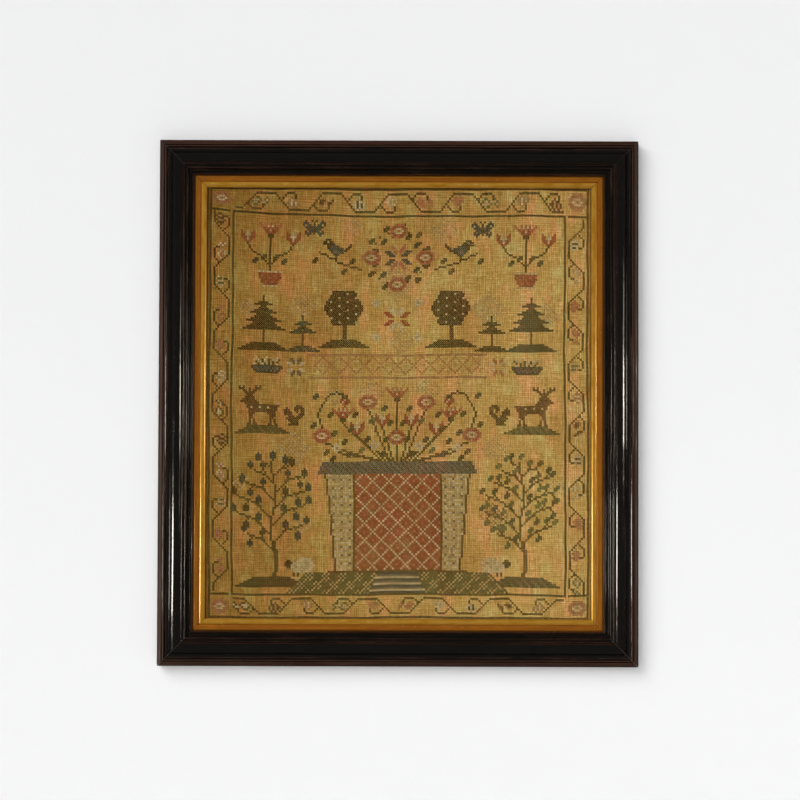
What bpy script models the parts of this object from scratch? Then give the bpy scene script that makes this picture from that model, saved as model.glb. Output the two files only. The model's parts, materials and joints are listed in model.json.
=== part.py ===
"""A cross stitch sampler in its moulded frame, hung flat against a wall.

Units are metres, +Z up, and the picture faces -Y. The origin is the point on the back of the top
rail, at the middle of its width and length, where the frame bears on the wall.
"""

import math

import bmesh
import bpy

MM = 0.001

# Driving dimensions
FRAME_WIDTH = 520 * MM
FRAME_HEIGHT = 570 * MM
MITRE_GAP = 0.3 * MM      # opened joint between two neighbouring lengths of moulding
FIT_GAP = 0.3 * MM        # running gap between pieces that lie on each other
CLOTH_THICKNESS = 1.2 * MM
CLOTH_MARGIN = 1.2 * MM   # free strip between the cloth's edge and the rebate wall
CLOTH_BELLY = 0.8 * MM    # how far the middle of the cloth stands forward of its edges
CLOTH_RIPPLE = 0.25 * MM  # height of the slack waves between the belly and the edges
CLOTH_COLUMNS = 22
CLOTH_ROWS = 24
BOARD_THICKNESS = 3.0 * MM
BOARD_EDGE = 0.4 * MM     # rounding of the board's edges

# Heights above the wall, and widths in from the frame's outer edge, that several pieces share
REBATE_WALL = 29.5 * MM
SIGHT_EDGE = 37.2 * MM
REBATE_CEILING = 11.6 * MM
SLIP_BACK = 7.0 * MM
SLIP_SIGHT = 51.0 * MM

ARC_STEP = 0.55 * MM      # longest straight run along a round stretch of a profile

# Each row runs to a point: across is the distance in from the outer edge, up the height above the
# wall, and bulge how far the stretch swells (+) or hollows (-) from a straight line. Millimetres.
RAIL_PROFILE = (
    # across, up, bulge
    (0.0, 0.0, 0.0),      # back corner
    (0.0, 13.0, 0.0),     # outer side
    (5.0, 18.2, 1.5),     # outer shoulder
    (5.9, 17.4, 0.0),     # groove
    (6.2, 19.6, 0.0),
    (8.6, 20.0, 0.4),     # narrow bead
    (9.2, 18.0, 0.0),     # quirk
    (12.4, 19.4, -0.5),   # hollow at the foot of the swell
    (23.8, 21.2, 2.9),    # the broad swell
    (24.6, 19.6, 0.0),    # quirk
    (25.4, 19.8, 0.0),
    (27.8, 19.4, 1.0),    # first reed
    (28.4, 18.2, 0.0),
    (29.2, 18.2, 0.0),
    (31.6, 17.6, 1.0),    # second reed
    (32.6, 16.0, 0.0),
    (36.4, 14.4, -0.5),   # inner hollow
    (37.2, 13.6, 0.2),    # sight lip
    (37.2, 11.6, 0.0),    # sight edge
    (29.5, 11.6, 0.0),    # rebate ceiling
    (29.5, 0.0, 0.0),     # rebate wall
)
SLIP_PROFILE = (
    # across, up, bulge
    (29.8, 7.0, 0.0),     # back corner, beside the rebate wall
    (29.8, 11.3, 0.0),
    (39.6, 11.3, 0.0),    # flat, mostly under the moulding's lip
    (40.0, 10.7, 0.0),
    (43.6, 10.4, -0.5),   # hollow
    (46.4, 10.8, 1.1),    # bead
    (46.9, 10.1, 0.0),
    (50.5, 9.0, 0.9),     # sight bead
    (51.0, 8.3, 0.1),
    (51.0, 7.0, 0.0),     # sight edge
)

# Where things lie
RAIL_LAND = REBATE_WALL / 2              # middle of the flat back of a rail
CENTRE_Z = RAIL_LAND - FRAME_HEIGHT / 2  # height of the picture's middle
CLOTH_FRONT = SLIP_BACK - FIT_GAP
BOARD_FRONT = CLOTH_FRONT - CLOTH_THICKNESS - FIT_GAP

# Name, turn about the picture's axis in degrees, and whether it is an upright
SIDES = (
    ("top", 0.0, False),
    ("right", 90.0, True),
    ("bottom", 180.0, False),
    ("left", -90.0, True),
)


def clear_scene():
    for thing in list(bpy.data.objects):
        bpy.data.objects.remove(thing)


def finish(name, colour, roughness, metallic=0.0):
    """A plain material for one kind of surface."""
    material = bpy.data.materials.new(name)
    material.use_nodes = True
    shader = material.node_tree.nodes["Principled BSDF"]
    shader.inputs["Base Color"].default_value = (*colour, 1.0)
    shader.inputs["Roughness"].default_value = roughness
    shader.inputs["Metallic"].default_value = metallic
    return material


def arc_points(start, end, bulge):
    """Points after start, up to and with end, along an arc whose middle stands bulge off the chord."""
    chord_x, chord_y = end[0] - start[0], end[1] - start[1]
    chord = math.hypot(chord_x, chord_y)
    if abs(bulge) < 1e-9:
        return [end]
    half_turn = 2.0 * math.atan(2.0 * abs(bulge) / chord)
    radius = chord / (2.0 * math.sin(half_turn))
    steps = max(3, math.ceil(2.0 * radius * half_turn / ARC_STEP))
    side = math.copysign(1.0, bulge)
    normal = (-chord_y / chord * side, chord_x / chord * side)
    points = []
    for k in range(1, steps + 1):
        turn = half_turn * (2.0 * k / steps - 1.0)
        along = 0.5 + radius * math.sin(turn) / chord
        off = radius * (math.cos(turn) - math.cos(half_turn))
        points.append((start[0] + chord_x * along + normal[0] * off,
                       start[1] + chord_y * along + normal[1] * off))
    points[-1] = end
    return points


def profile_points(rows):
    """The closed outline of a moulding, in metres, from its table."""
    rows = [(across * MM, up * MM, bulge * MM) for across, up, bulge in rows]
    points = [rows[0][:2]]
    for across, up, bulge in rows[1:]:
        points += arc_points(points[-1], (across, up), bulge)
    return points


def mitred_length(name, outline, length):
    """A mesh of one length of moulding along X, with its outer edge at Z 0 and its back at Y 0."""
    shrink = MITRE_GAP / math.sqrt(2.0)
    shape = bmesh.new()
    ends = []
    for side in (-1.0, 1.0):
        ends.append([
            shape.verts.new((side * (length / 2 - across - shrink), -up, -across))
            for across, up in outline
        ])
    count = len(outline)
    for k in range(count):
        after = (k + 1) % count
        shape.faces.new((ends[0][k], ends[0][after], ends[1][after], ends[1][k]))
    caps = [shape.faces.new(ends[0]), shape.faces.new(ends[1])]
    bmesh.ops.triangulate(shape, faces=caps)
    bmesh.ops.recalc_face_normals(shape, faces=shape.faces)
    mesh = bpy.data.meshes.new(name)
    shape.to_mesh(mesh)
    shape.free()
    mesh.shade_smooth()
    mesh.set_sharp_from_angle(angle=math.radians(28.0))
    return mesh


def place(name, mesh, material, parent, turn=0.0, location=(0.0, 0.0, 0.0)):
    thing = bpy.data.objects.new(name, mesh)
    bpy.context.scene.collection.objects.link(thing)
    if not mesh.materials:
        mesh.materials.append(material)
    thing.location = location
    thing.rotation_euler = (0.0, math.radians(turn), 0.0)
    thing.parent = parent
    return thing


def four_lengths(kind, rows, material, parent):
    """Four mitred lengths of one moulding, round the picture."""
    outline = profile_points(rows)
    across = mitred_length(kind + "_across", outline, FRAME_WIDTH)
    upright = mitred_length(kind + "_upright", outline, FRAME_HEIGHT)
    for side, turn, is_upright in SIDES:
        reach = FRAME_WIDTH / 2 if is_upright else FRAME_HEIGHT / 2
        angle = math.radians(turn)
        location = (reach * math.sin(angle), 0.0, reach * math.cos(angle))
        mesh = upright if is_upright else across
        place(f"{kind}_{side}", mesh, material, parent, turn, location)


def cloth_rise(x, z, half_width, half_height):
    """How far the cloth stands forward at a point, none at its hidden edges: a soft belly, with slack
    waves that run in from the sides."""
    s, t = x / half_width, z / half_height
    inside = max(0.0, 1.0 - (s / 0.9) ** 2) * max(0.0, 1.0 - (t / 0.9) ** 2)
    waves = math.sin(5.0 * s + 1.6 * t) * math.cos(4.0 * t - 0.8 * s)
    return inside * (CLOTH_BELLY + CLOTH_RIPPLE * waves)


def sampler_cloth(material, parent):
    """The ground cloth: one thin sheet, held at its edges between the slip and the board."""
    half_width = FRAME_WIDTH / 2 - REBATE_WALL - CLOTH_MARGIN
    half_height = FRAME_HEIGHT / 2 - REBATE_WALL - CLOTH_MARGIN
    shape = bmesh.new()
    bmesh.ops.create_grid(shape, x_segments=CLOTH_COLUMNS, y_segments=CLOTH_ROWS, size=1.0)
    for vert in shape.verts:
        x, z = vert.co.x * half_width, vert.co.y * half_height
        vert.co = (x, -CLOTH_FRONT - cloth_rise(x, z, half_width, half_height), z)
    mesh = bpy.data.meshes.new("sampler_cloth")
    shape.to_mesh(mesh)
    shape.free()
    mesh.shade_smooth()
    cloth = place("sampler_cloth", mesh, material, parent)
    body = cloth.modifiers.new("thickness", "SOLIDIFY")
    body.thickness = CLOTH_THICKNESS
    body.offset = -1.0
    return cloth


def backboard(material, parent):
    """The plain board behind the cloth, fitting the rebate with a small gap all round."""
    size = (FRAME_WIDTH - 2 * (REBATE_WALL + FIT_GAP), BOARD_THICKNESS,
            FRAME_HEIGHT - 2 * (REBATE_WALL + FIT_GAP))
    shape = bmesh.new()
    bmesh.ops.create_cube(shape, size=1.0)
    for vert in shape.verts:
        vert.co = [c * s for c, s in zip(vert.co, size)]
    mesh = bpy.data.meshes.new("backboard")
    shape.to_mesh(mesh)
    shape.free()
    board = place("backboard", mesh, material, parent,
                  location=(0.0, -BOARD_FRONT + BOARD_THICKNESS / 2, 0.0))
    edges = board.modifiers.new("edges", "BEVEL")
    edges.width = BOARD_EDGE
    edges.segments = 1
    return board


def build():
    clear_scene()
    ebonised = finish("ebonised_wood", (0.018, 0.013, 0.010), 0.28)
    gilt = finish("gilt_slip", (0.52, 0.30, 0.07), 0.38, 0.85)
    linen = finish("ground_cloth", (0.42, 0.28, 0.12), 0.9)
    board = finish("plain_board", (0.34, 0.22, 0.12), 0.8)

    centre = bpy.data.objects.new("picture_centre", None)
    bpy.context.scene.collection.objects.link(centre)
    centre.location = (0.0, 0.0, CENTRE_Z)

    four_lengths("rail", RAIL_PROFILE, ebonised, centre)
    four_lengths("slip", SLIP_PROFILE, gilt, centre)
    sampler_cloth(linen, centre)
    backboard(board, centre)


build()
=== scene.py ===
"""The looks of a framed cross stitch sampler: its needlework, ground cloth, gilt slip and frame.

Everything is in metres in the model's own frame: +Z up, the picture facing -Y, its back at Y 0.
"""

import json
import math

import bmesh
import bpy
import numpy as np
from mathutils import Matrix, Vector

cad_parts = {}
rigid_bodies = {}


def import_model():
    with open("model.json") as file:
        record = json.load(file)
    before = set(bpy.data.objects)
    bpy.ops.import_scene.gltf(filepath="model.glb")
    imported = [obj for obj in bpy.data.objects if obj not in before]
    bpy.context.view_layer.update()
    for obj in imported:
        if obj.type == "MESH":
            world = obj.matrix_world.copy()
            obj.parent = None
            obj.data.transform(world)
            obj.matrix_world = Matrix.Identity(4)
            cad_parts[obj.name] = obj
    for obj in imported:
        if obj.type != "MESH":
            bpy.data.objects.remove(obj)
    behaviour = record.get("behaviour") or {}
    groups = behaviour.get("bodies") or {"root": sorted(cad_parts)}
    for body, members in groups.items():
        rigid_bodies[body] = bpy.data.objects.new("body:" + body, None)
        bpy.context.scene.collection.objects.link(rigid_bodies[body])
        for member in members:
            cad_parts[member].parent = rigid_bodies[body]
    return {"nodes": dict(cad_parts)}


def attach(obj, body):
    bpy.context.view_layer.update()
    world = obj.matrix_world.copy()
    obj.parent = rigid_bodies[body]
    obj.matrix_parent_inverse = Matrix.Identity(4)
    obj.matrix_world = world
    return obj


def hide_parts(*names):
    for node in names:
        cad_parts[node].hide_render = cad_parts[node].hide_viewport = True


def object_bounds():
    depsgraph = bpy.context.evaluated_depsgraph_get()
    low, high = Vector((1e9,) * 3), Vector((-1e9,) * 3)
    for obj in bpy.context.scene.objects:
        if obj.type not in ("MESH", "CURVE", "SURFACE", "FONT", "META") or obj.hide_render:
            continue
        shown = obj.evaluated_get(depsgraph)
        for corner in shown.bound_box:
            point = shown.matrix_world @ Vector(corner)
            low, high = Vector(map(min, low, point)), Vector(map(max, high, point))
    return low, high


for thing in list(bpy.data.objects):
    bpy.data.objects.remove(thing)
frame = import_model()
CAD_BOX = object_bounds()

MM = 0.001

# Sizes shared with the solids
LOW, HIGH = CAD_BOX
FRAME_WIDTH, FRAME_HEIGHT = HIGH[0] - LOW[0], HIGH[2] - LOW[2]
CENTRE_Z = (LOW[2] + HIGH[2]) / 2
SIGHT = 51.0 * MM  # from the frame's outer edge in to the slip's sight edge
CLOTH_HALF = (229.3 * MM, 254.3 * MM)
CLOTH_FRONT = 6.7 * MM  # height of the cloth's front above the wall, at its edges
CLOTH_THICKNESS = 1.2 * MM
CLOTH_BELLY, CLOTH_RIPPLE, CLOTH_PUCKER = 0.8 * MM, 0.25 * MM, 0.11 * MM
MITRE_GAP = 0.3 * MM

# Profiles of the two mouldings: distance in from the outer edge, height above the wall and swell of
# each stretch, in millimetres, then how far its finish is worn; on the slip this also paints its beads
# paler as a sheen, and below 0 it paints a shadow
RAIL_PROFILE = (
    # across, up, bulge, wear: the outer side and its rounded edge
    (0, 0, 0, 0.2), (0, 13, 0, 0.45), (5, 18.2, 1.5, 0.8),
    # outer bead and flat
    (5.9, 17.4, 0, 0.1), (6.2, 19, 0, 0.3), (7.3, 19.7, 0.1, 0.95), (8.9, 18.7, 0.18, 0.3),
    (9.2, 17.9, 0, 0.5), (10.4, 17.9, 0, 0.55), (10.8, 17.9, 0, 0.05), (13.2, 18, 0, 0.05),
    # broad swell
    (15.4, 21, 0.15, 0.05), (24.8, 21.25, 1.72, 0),
    # two inner beads
    (24.95, 20.8, 0, 0.9), (25.2, 19.6, 0, 0.8), (25.8, 19.8, 0, 0.5), (28, 19.4, 0.9, 0.4),
    (28.5, 18.2, 0, 0.1), (29.2, 18.2, 0, 0.4), (31.5, 17.6, 0.9, 0.4),
    # cove and sight edge
    (32.1, 16.2, 0, 0.3), (32.6, 14.5, 0, 0.3), (33.9, 14.5, 0, 0.3), (35.3, 15.2, 0, 0.2),
    (36.2, 13.6, 0, 0.4), (37.2, 14, 0, 0.8), (37.2, 11.6, 0, 0.3),
    # rebate
    (29.5, 11.6, 0, 0), (29.5, 0, 0, 0),
)
SLIP_PROFILE = (
    # the part under the rail, and the painted shadow of the rail beside it
    (29.8, 7, 0, 0), (29.8, 11.2, 0, 0), (37, 11.2, 0, -1), (37.3, 10.6, 0, -1), (38.5, 10.6, 0, -0.7),
    # outer bevel, and groove with a faint painted shade
    (40.1, 11.6, 0.16, 0.2), (43.9, 10.8, -0.1, 0), (44.5, 9.8, 0, -0.1), (45, 9.9, 0, -0.1),
    # inner bevel and lip, the bead's paleness partly a painted sheen
    (50.5, 9.3, 1.05, 0.7), (50.65, 9.3, 0, 0.2), (50.8, 9.5, 0, 0.7), (51, 9.3, 0, 0.6), (51, 7, 0, 0.1),
)
# Each length's side, its turn round the picture in degrees, and whether it is upright
SIDES = (("top", 0.0, False), ("right", 90.0, True), ("bottom", 180.0, False), ("left", -90.0, True))
STATIONS = 72  # places along each length where its section is set
GRAIN_SHIFT = 700.0  # from one length's grain to the next one's, millimetres
SHARP_ANGLE = math.radians(50.0)

# Camera: its distance from the frame's face, the width that it takes in there, and how it looks up
VIEW_DISTANCE = 2.05
VIEW_WIDTH = 0.8648
VIEW_FACE = -18.0 * MM
VIEW_RISE = math.radians(1.4)
VIEW_ROLL = math.radians(0.19)
VIEW_AIM = (1.6 * MM, 2.8 * MM)  # right of and above the picture's middle
SENSOR_WIDTH = 36.0
WALL_GAP = 0.4 * MM


# The needlework's design

COLUMNS, ROWS = 186, 206  # stitches that show inside the slip
BAND = 11  # width of the border
AXIS = 92  # the column that the large motifs are centred on

# Small motifs, charted one letter to a stitch; a dot is bare cloth. Capital letters are threads.
CARNATION = """
P..P.P.P..P
PP.PCPCP.PP
.PRPRPRPRP.
..PRRCRRP..
...RRRRR...
....GGG....
....GGG....
.....G.....
"""
ROSE = """
..PPPPP..
.PRRPRRP.
PRPCCCPRP
PPCYRYCPP
PRPCCCPRP
.PRRPRRP.
..PPPPP..
"""
TULIP = """
R..C..R
RR.C.RR
RRCCCRR
RRRCRRR
.RRCRR.
..RRR..
...G...
"""
DAISY = """
..C..
.CCC.
CCYCC
.CCC.
..C..
"""
BIRD = """
..KKK..........
.KKYKK.........
YKKKKKK.......K
...KKBBBB....KK
...KBBBBBBB.KK.
....BBSSBBBKK..
.....BSSSBB....
......BBB......
.......N.......
......NN.......
"""
STAG = """
N.N.....N.N.........
NNN..N..NNN.........
..NN.N.NN...........
...NNNNN............
....NNN.............
...NNNNN............
..NNKNNN............
.NNNNNNNN...........
...NNNNNNN.........C
....NNNNNNNNNNNNNNNN
....NNCNNNCNNNCNNNN.
.....NNNNNNNNNNNNNN.
.....NNNNNNNNNNNNN..
.....NNN......NNNN..
.....NN........NNN..
.....NN........NN...
.....N.N.......N.N..
.....N.N.......N.N..
....NN.NN.....NN.NN.
"""
SHEEP = """
.......CCCCCC..
.KK...CCCCCCCC.
KKKKCCCYCCCYCC.
KKKCCCCCCCCCCCC
.KKCCYCCCYCCCC.
...CCCCCCCCCCC.
....CCCCCCCCC..
....K.K...K.K..
....K.K...K.K..
"""
SQUIRREL = """
......NNN.
.N...NNNNN
NNN..NN.NN
NKNN..N.NN
NNNN...NNN
..NNN.NNN.
.NNNNNNN..
..NNNNN...
...NNNN...
..NNNNN...
"""
BUTTERFLY = """
.B..K.K..B.
BBB..K..BBB
BYBB.K.BBYB
.BBBBKBBBB.
..BBBKBBB..
.BPBBKBBPB.
.BBB.K.BBB.
..B.....B..
"""
POT = """
YCYCYCYCYCYCY
.RRRRRRRRRRR.
.RPRRPRRPRRP.
.RRPRRPRRPRR.
..RRRRRRRRR..
..RRPRRPRRP..
...RRRRRRR...
..YCYCYCYCY..
"""
BERRY = """
.G.G.
.GGG.
RRCRR
RCRRR
.RRR.
..R..
"""
PUNNET = """
..C..Y.C.Y..C..
.CYC.OCYO.CYCO.
..OYCOYCOYOYO..
.C.OYCOCOYO.C..
TTTTTTTTTTTTTTT
TBSBSBSBSBSBSBT
.TBSBSBSBSBSBT.
..TTTTTTTTTTT..
"""
# Half a wave of the border's vine, with the outer edge at the top. V is vine, and F and f are a
# flower's two threads: a bell, and a spray of leaves.
VINE_BELL = """
VVVV.....VVVV....
....V...V....V...
.....V.V...F.V...
......V...FfFF...
.......V.FFfFfF..
........V.FfFfF..
.........V.F.F...
..........VVVVVV.
"""
VINE_SPRAY = """
VVVV....VVVVV....
....V..V.....V...
.....VV..ff..Vf..
......V.fFFf.FFf.
.......V.FFFf.fF.
........V.ff...f.
.........V.......
..........VVVVVV.
"""
# Two threads for each of the border's flowers, in turn
FLOWER_THREADS = (("D", "P"), ("C", "Y"), ("N", "D"), ("F", "M"), ("P", "D"), ("C", "O"), ("D", "C"))


class Sampler:
    """The needlework as a table of threads: cell (column, row), counted from the top left."""

    def __init__(self):
        self.cells = {}

    def put(self, x, y, thread):
        x, y = round(x), round(y)
        if 0 <= x < COLUMNS and 0 <= y < ROWS:
            self.cells[x, y] = thread

    def line(self, points, threads):
        """A run of stitches through points; its thread changes every few stitches."""
        count = 0
        for (x0, y0), (x1, y1) in zip(points, points[1:]):
            steps = max(abs(round(x1 - x0)), abs(round(y1 - y0)), 1)
            for k in range(steps + 1):
                self.put(x0 + (x1 - x0) * k / steps, y0 + (y1 - y0) * k / steps,
                         threads[(count // 9) % len(threads)])
                count += 1

    def stamp(self, chart, x, y, flip=False, swap=None):
        """A charted motif with its top left at (x, y), mirrored or recoloured."""
        for dy, row in enumerate(chart.split()):
            if flip:
                row = row[::-1]
            for dx, thread in enumerate(row):
                if thread != ".":
                    self.put(x + dx, y + dy, (swap or {}).get(thread, thread))

    def both(self, chart, x, y):
        """The same motif on the left, and mirrored on the right."""
        self.stamp(chart, x, y)
        width = len(chart.split()[0])
        self.stamp(chart, 2 * AXIS - x - width + 1, y, flip=True)


def border(s):
    """Two straight lines with a wave of vine between them, a flower in each bend."""
    left, right, top, bottom = 1, COLUMNS - 2, 0, ROWS - 1
    inner_left, inner_right = left + BAND, right - BAND
    inner_top, inner_bottom = top + BAND, bottom - BAND
    s.line([(left, top), (right, top), (right, bottom)], "GGGKG")
    s.line([(left, top), (left, bottom), (right, bottom)], "OGONO")
    s.line([(inner_left, inner_top), (inner_right, inner_top), (inner_right, inner_bottom)], "GKGGO")
    s.line([(inner_left, inner_top), (inner_left, inner_bottom), (inner_right, inner_bottom)], "OOTOG")
    start = BAND + 2
    # side, whether it runs across, stitches to a half wave, half waves
    for side, across, step, count in (("top", True, 16, 10), ("bottom", True, 16, 10),
                                      ("left", False, 15, 12), ("right", False, 15, 12)):
        for k in range(count):
            rows = (VINE_BELL if (k * 3 + len(side)) % 5 < 3 else VINE_SPRAY).split()
            if (k % 2 == 0) == across:
                rows = rows[::-1]
            main, second = FLOWER_THREADS[(k * 3 + len(side)) % len(FLOWER_THREADS)]
            vine = ("OGONOG" if side == "bottom" else "GGKNGO")[(k + len(side)) % 6]
            for dt, row in enumerate(rows):
                for ds, mark in enumerate(row):
                    past = ds > step
                    if mark == "." or past and (mark == "V" or k == count - 1):
                        continue
                    thread = {"V": vine, "F": main, "f": second}[mark]
                    along = start + k * step + ds
                    x, y = {
                        "top": (along, top + 2 + dt),
                        "bottom": (COLUMNS - 1 - along, bottom - 2 - dt),
                        "left": (left + 2 + dt, ROWS - 1 - along),
                        "right": (right - 2 - dt, along),
                    }[side]
                    s.put(x, y, thread)
    for x in (left + 1, right - 9):
        for y in (top + 2, bottom - 8):
            s.stamp(ROSE, x, y, swap={"R": "P", "P": "D"})
        for row in (inner_top, inner_bottom):
            s.line([(x, row), (x + 8, row)], "G")


def star(s, cx, cy, size, one, two):
    """An eight-pointed star: slanted diamonds round a centre, in two threads."""
    for dx in range(-2 * size, 2 * size + 1):
        for dy in range(-2 * size, 2 * size + 1):
            far, near = max(abs(dx), abs(dy)), min(abs(dx), abs(dy))
            if 1 <= near <= size and 1 <= far - near <= size:
                s.put(cx + dx, cy + dy, one if abs(dx) > abs(dy) else two)


def mound(s, cx, base, half, thread, other):
    """A stepped hillock."""
    for k in range(max(3, half // 3)):
        for x in range(cx - half + 2 * k, cx + half - 2 * k + 1):
            s.put(x, base - k, other if (x + k) % 4 == 0 else thread)


def conifer(s, cx, base, tiers, thread, other):
    """A fir of stacked tiers on a hillock."""
    mound(s, cx, base, 4 + 2 * tiers, thread, other)
    foot = base - max(3, (4 + 2 * tiers) // 3)
    for y in range(foot - 5, foot + 1):
        s.put(cx, y, "N")
    y = foot - 6
    for tier in range(tiers, 0, -1):
        for k in range(5):
            half = max(0, 2 + 2 * tier - 2 * k + (k > 2))
            for x in range(cx - half, cx + half + 1):
                s.put(x, y, other if (x * 3 + y) % 5 == 0 else thread)
            y -= 1
        y += 1


def leaf(s, x, y, thread):
    for dx, dy in ((0, 0), (1, 0), (-1, 0), (0, -1), (0, 1), (1, -1), (-1, 1)):
        s.put(x + dx, y + dy, thread)


def bud(s, x, y, thread, dark):
    """A full leaf, darker round its edge, in one of three shapes."""
    shape = ("0110", "01110", "0111")[(x * 5 + y * 3) % 3]
    for dy, half in enumerate(map(int, shape)):
        for dx in range(-half, half + 1):
            outer = abs(dx) == half and (x + dx + y + dy) % 2
            s.put(x + dx, y - 2 + dy, dark if outer else thread)


def tree(s, cx, base, height, limbs, wood, leaves, full):
    """A branching tree: limbs leave a winding trunk on either side and rise to full or slim leaves."""
    step = 6 if full else 4

    def middle(k):
        return cx + round(1.2 * math.sin(k * 0.2))

    def tip(x, y, k):
        if full:
            bud(s, x, y, leaves[k % len(leaves)], leaves[-1])
        else:
            leaf(s, x, y, leaves[k % len(leaves)])

    for k in range(height):
        x = middle(k)
        s.put(x, base - k, wood)
        if k < height // 3:
            s.put(x + 1, base - k, wood)
    for n in range(limbs):
        side = 1 if n % 2 else -1
        share = n / max(1, limbs - 1)
        start = base - round(height * (0.22 + 0.7 * share))
        reach = round(height * 0.29 * math.sin(math.pi * (0.28 + 0.64 * share)))
        x, y = middle(base - start), start
        for k in range(reach):
            x += side
            if k < reach * 0.45 or k % 3 == 0:
                y -= 1
            s.put(x, y, wood)
            if k % step == step - 2:
                up = 1 if (k // step) % 2 else -1
                for twig in (1, 2):
                    s.put(x + side * (twig - 1), y + twig * up, wood)
                tip(x + side, y + 4 * up, n + k)
        tip(x + 2 * side, y - 2, n)
    tip(cx, base - height - 2, 0)


def spray(s, x, y, path, thread, flower, hangs=False):
    """A stem through points given from (x, y), its charted flower standing on its end or hanging."""
    points = [(x + dx, y + dy) for dx, dy in path]
    s.line(points, thread)
    rows = flower.split()
    end_x, end_y = points[-1]
    s.stamp(flower, end_x - len(rows[0]) // 2, end_y if hangs else end_y - len(rows) + 1)


def mirrored(path):
    return [(-dx, dy) for dx, dy in path]


def flower_pot(s, cx, base):
    """Three flowers in a red pot."""
    s.stamp(POT, cx - 6, base - 7)
    middle = [(0, 0), (0, -15)]
    aside = [(0, -2), (4, -6), (9, -9), (11, -12)]
    spray(s, cx, base - 8, middle, "G", CARNATION)
    spray(s, cx, base - 8, aside, "G", TULIP)
    spray(s, cx, base - 8, mirrored(aside), "G", TULIP)
    for side in (-1, 1):
        leaf(s, cx + 3 * side, base - 14, "O")
        leaf(s, cx + 7 * side, base - 12, "T")


def wreath(s, cx, cy, radius):
    """A ring of leaves with roses at its quarters."""
    count = 22
    for k in range(count):
        angle = 2 * math.pi * k / count
        x, y = cx + radius * math.cos(angle), cy + radius * math.sin(angle)
        s.put(x, y, "G")
        out = 2 if k % 2 else -2
        leaf(s, x + out * math.cos(angle), y + out * math.sin(angle), "GOT"[k % 3])
    for dx, dy in ((0, -radius), (0, radius), (-radius, 0), (radius, 0)):
        s.stamp(ROSE, round(cx + dx) - 4, round(cy + dy) - 3)


def basket(s, cx, top, base, half_top, half_base):
    """A wide woven basket: straw panels at its sides, a red one with a pale lattice between."""
    height = base - top
    for y in range(top, base + 1):
        half = round(half_top + (half_base - half_top) * ((y - top) / height) ** 0.8)
        for x in range(cx - half, cx + half + 1):
            dx, dy = abs(x - cx), y - top
            if dx == half or dx == half_base - 9:
                thread = "N"
            elif dx < half_base - 9:
                thread = "C" if (dx + dy) % 8 == 0 or (dx - dy) % 8 == 0 else "R"
                if (dx + dy) % 8 == 4 and (dx - dy) % 8 == 4:
                    thread = "P"
            else:
                block = (dx // 4 + dy // 4) % 2
                thread = ("Y", "C")[(dx if block else dy) % 2]
                if dx % 4 == 3 and dy % 4 == 3:
                    thread = "S"
            s.put(x, y, thread)
    for k in range(6):
        for x in range(cx - half_top - 3 + k // 2, cx + half_top + 4 - k // 2):
            s.put(x, top - k, "B" if (x + k) % 3 == 0 else "S")
    for k in range(3):
        for x in range(cx - half_base - 3 - k, cx + half_base + 4 + k):
            s.put(x, base + 1 + k, "K" if k == 1 and x % 3 else "N")


def apple_tree(s, cx, base, radius, thread, other, fruit):
    """A round dark crown dotted with fruit, on a short trunk and a hillock."""
    mound(s, cx, base, radius + 3, other, thread)
    foot = base - max(3, (radius + 3) // 3)
    for y in range(foot - 7, foot + 1):
        for x in (cx, cx + 1):
            s.put(x, y, "N")
    middle = foot - 6 - radius
    for dx in range(-radius - 1, radius + 2):
        for dy in range(-radius, radius + 1):
            edge = radius + 0.7 * math.cos(6.0 * math.atan2(dy, dx))
            if math.hypot(dx, dy) > edge:
                continue
            spot = dx % 4 == 2 and (dy + 2 * (dx // 4)) % 4 == 1
            foliage = other if (dx + 2 * dy) % 5 == 0 else thread
            s.put(cx + dx, middle + dy, fruit if spot else foliage)


def bouquet(s, cx, y):
    """The stems, leaves and flowers that stand in the basket."""
    stems = (
        # reach to either side, rise, flower
        (0, 28, CARNATION),
        (14, 25, ROSE),
        (26, 18, CARNATION),
        (36, 9, ROSE),
        (7, 16, TULIP),
        (19, 12, TULIP),
        (0, 8, ROSE),
        (29, 4, DAISY),
        (11, 5, DAISY),
    )
    for reach, rise, flower in stems:
        path = [(reach // 3, 0), (reach, -rise)]
        for way in ((path,) if reach == 0 else (path, mirrored(path))):
            spray(s, cx, y, way, "GO", flower)
    leaves = (
        # reach to either side, rise, thread
        (6, 25, "T"), (20, 22, "G"), (3, 18, "O"), (12, 19, "M"), (30, 13, "T"),
        (22, 15, "O"), (5, 10, "G"), (14, 10, "T"), (25, 9, "G"), (34, 4, "O"),
        (17, 5, "M"), (23, 3, "T"), (7, 3, "G"), (31, 1, "G"),
    )
    for reach, rise, thread in leaves:
        for side in (-1, 1):
            leaf(s, cx + side * reach, y - rise, thread)


def ground(s, top, base):
    """The lawn along the foot, in a woven pattern, with a striped mat under the basket."""
    for y in range(top, base + 1):
        half = 44 + (y - top)
        for x in range(AXIS - half, AXIS + half + 1):
            dx = abs(x - AXIS)
            if dx < 10 + (y - top) // 2:
                thread = ("B", "S", "C")[(y - top) % 3]
            else:
                thread = "TYOM"[(x // 4 + y // 4) % 2 * 2 + (x + y) % 2]
            s.put(x, y, thread)


def chain(s, x0, x1, y, thread, other):
    """A narrow band of linked diamonds between two lines."""
    for x in range(x0, x1 + 1):
        k = (x - x0) % 8
        rise = min(k, 8 - k)
        s.put(x, y + 4 - rise, thread)
        s.put(x, y + 4 + rise, thread)
        if k == 4:
            s.put(x, y + 4, other)
            s.put(x - 1, y + 4, other)
            s.put(x + 1, y + 4, other)
        if k == 0:
            s.put(x, y + 1, other)
            s.put(x, y + 7, other)


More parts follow.
